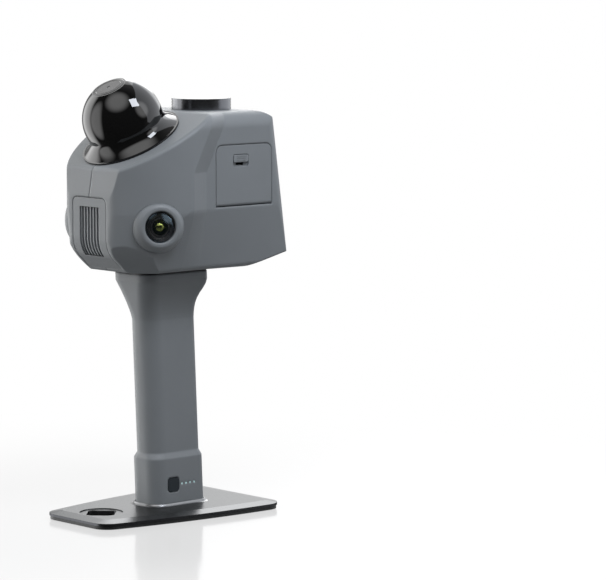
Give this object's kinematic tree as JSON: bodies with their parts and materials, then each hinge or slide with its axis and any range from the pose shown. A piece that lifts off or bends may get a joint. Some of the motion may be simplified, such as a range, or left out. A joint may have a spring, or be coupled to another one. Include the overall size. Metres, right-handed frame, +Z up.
{
  "type": "handheld laser scanner",
  "caption": "Handheld laser scanner: hollow head with tilted scanning dome, side cameras, fan and hinged port door, on a battery handle that stands on a base plate.",
  "frame": {"origin": "on the table, at the middle of the footprint's bounding box", "axes": "+Z up along the handle, -Y towards the nose, X across, with the port door on +X"},
  "size_m": [0.096, 0.1482, 0.2782],
  "materials": {
    "casing": "fine satin grain",
    "dark_moulding": "satin",
    "dome": "polished",
    "lens_glass": "coated",
    "turned_metal": "black anodised, turned",
    "mirror": "polished",
    "plate_metal": "satin",
    "steel": "brushed",
    "brass": "machined",
    "board": "solder mask",
    "display": "dark",
    "cell_wrap": "shrink wrap",
    "light": "lit",
    "rubber": "matt"
  },
  "bodies": {
    "handle": {"handle_sleeve": "casing", "handle_top_cap": "dark_moulding", "handle_foot_cap": "dark_moulding", "dock_prongs": "steel", "contact_pins": "brass", "thread_insert": "brass", "cell_holders": "dark_moulding", "battery_board": "board", "battery_cell_1": "cell_wrap", "battery_cell_2": "cell_wrap", "battery_cell_3": "cell_wrap", "battery_cell_4": "cell_wrap", "button_switch": "board", "led_lenses": "light", "base_plate": "plate_metal", "base_tray": "dark_moulding", "base_feet": "rubber"},
    "head": {"head_shell_right": "casing", "head_shell_left": "casing", "vent_panel": "casing", "right_camera_ring": "casing", "left_camera_ring": "casing", "vent_grille": "dark_moulding", "port_tray": "dark_moulding", "rear_bezel": "dark_moulding", "fan_frame": "dark_moulding", "dock_plate": "dark_moulding", "right_camera_barrel": "dark_moulding", "left_camera_barrel": "dark_moulding", "top_camera_barrel": "dark_moulding", "card_socket": "dark_moulding", "memory_card": "dark_moulding", "dock_contacts": "dark_moulding", "lidar_dome": "dome", "dome_trim_ring": "dome", "right_camera_lens": "lens_glass", "left_camera_lens": "lens_glass", "top_camera_glass": "lens_glass", "display_glass": "lens_glass", "top_camera_bezel": "turned_metal", "lidar_base": "turned_metal", "lidar_stator": "turned_metal", "chassis_plate": "plate_metal", "heat_sink": "plate_metal", "shell_screws": "steel", "door_hinge_pin": "steel", "usb_socket": "steel", "main_board": "board", "port_board": "board", "right_camera_board": "board", "left_camera_board": "board", "top_camera_board": "board", "display_panel": "display"},
    "door": {"side_door": "casing"},
    "latch": {"door_latch": "casing"},
    "fan": {"fan_rotor": "dark_moulding"},
    "laser_rotor": {"lidar_rotor": "turned_metal", "scan_mirror": "mirror"},
    "button": {"power_button": "dark_moulding"},
    "screw": {"base_screw": "steel"}
  },
  "joints": [
    {"name": "head_lift", "type": "slide", "parent": "handle", "child": "head", "axis": [0, 0, 1], "range_m": [0, 0.03]},
    {"name": "door_hinge", "type": "hinge", "parent": "head", "child": "door", "pos_m": [0.0391, 0.03275, 0.19925], "axis": [0, 1, 0], "range_deg": [0, 95]},
    {"name": "latch_slide", "type": "slide", "parent": "door", "child": "latch", "axis": [0, 0, -1], "range_m": [0, 0.0025], "stiffness_N_per_m": 200},
    {"name": "laser_spin", "type": "hinge", "parent": "head", "child": "laser_rotor", "pos_m": [0, -0.02546, 0.24002], "axis": [0, -0.4787, 0.878], "continuous": true},
    {"name": "fan_spin", "type": "hinge", "parent": "head", "child": "fan", "pos_m": [0, -0.04735, 0.198], "axis": [0, -1, 0], "continuous": true},
    {"name": "power_button_press", "type": "slide", "parent": "handle", "child": "button", "axis": [-1, 0, 0], "range_m": [0, 0.0005], "stiffness_N_per_m": 600},
    {"name": "base_screw_turn", "type": "hinge", "parent": "handle", "child": "screw", "pos_m": [0, 0.00075, 0.0026], "axis": [0, 0, 1], "continuous": true}
  ]
}
